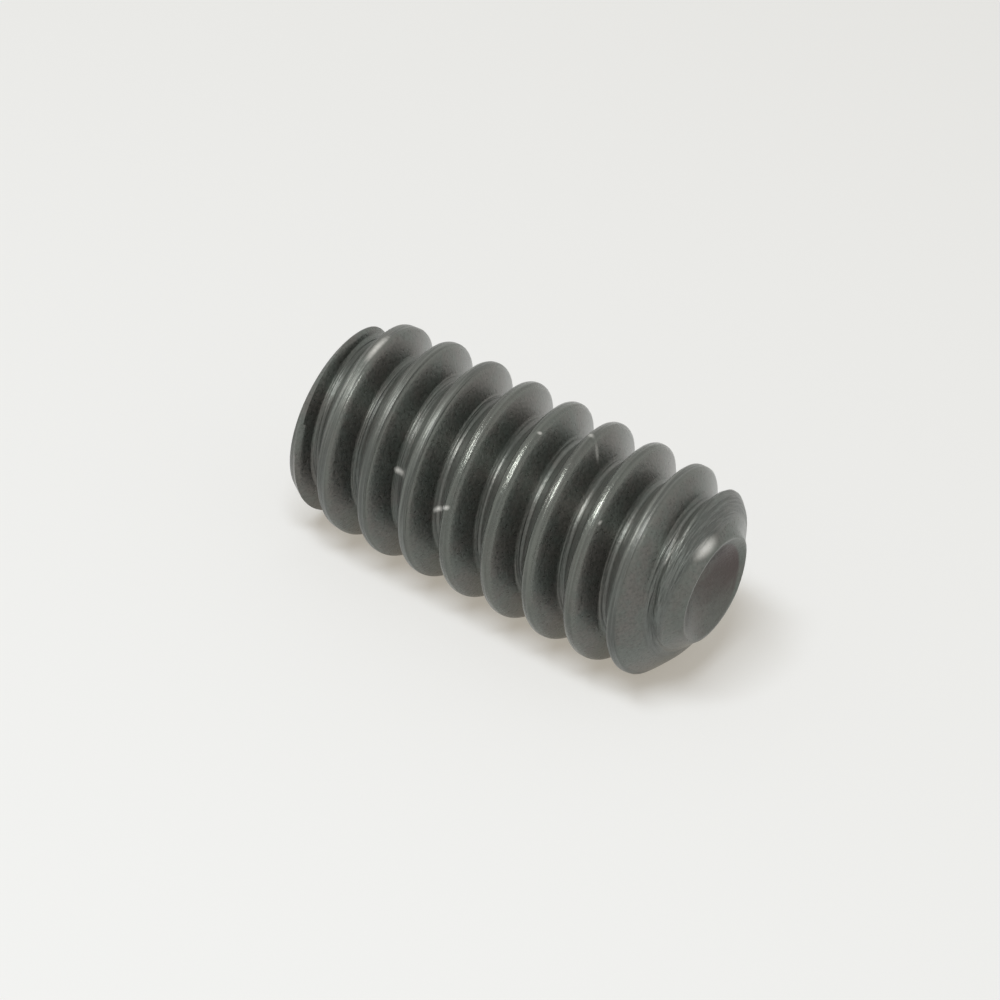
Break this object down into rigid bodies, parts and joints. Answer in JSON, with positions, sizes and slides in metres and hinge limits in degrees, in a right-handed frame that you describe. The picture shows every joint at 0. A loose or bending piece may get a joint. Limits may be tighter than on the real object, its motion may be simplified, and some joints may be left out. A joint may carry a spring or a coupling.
{
  "type": "socket set screw",
  "caption": "Headless threaded set screw with a hexagonal key socket in one end and a hollow cup point at the other, for clamping a part onto a shaft.",
  "frame": {"origin": "on the screw's axis, in the plane of the socket end's flat face, on which it stands", "axes": "+Z along the screw's axis, from the socket end to the cup point; X and Y are free, set by the thread's start"},
  "size_m": [0.0048, 0.0048, 0.0095],
  "materials": {
    "black_oxide_steel": "black oxide over thread-rolled alloy steel, satin, dark greenish grey, a little brighter on the crests"
  },
  "bodies": {
    "root": {"set_screw": "black_oxide_steel"}
  },
  "joints": []
}
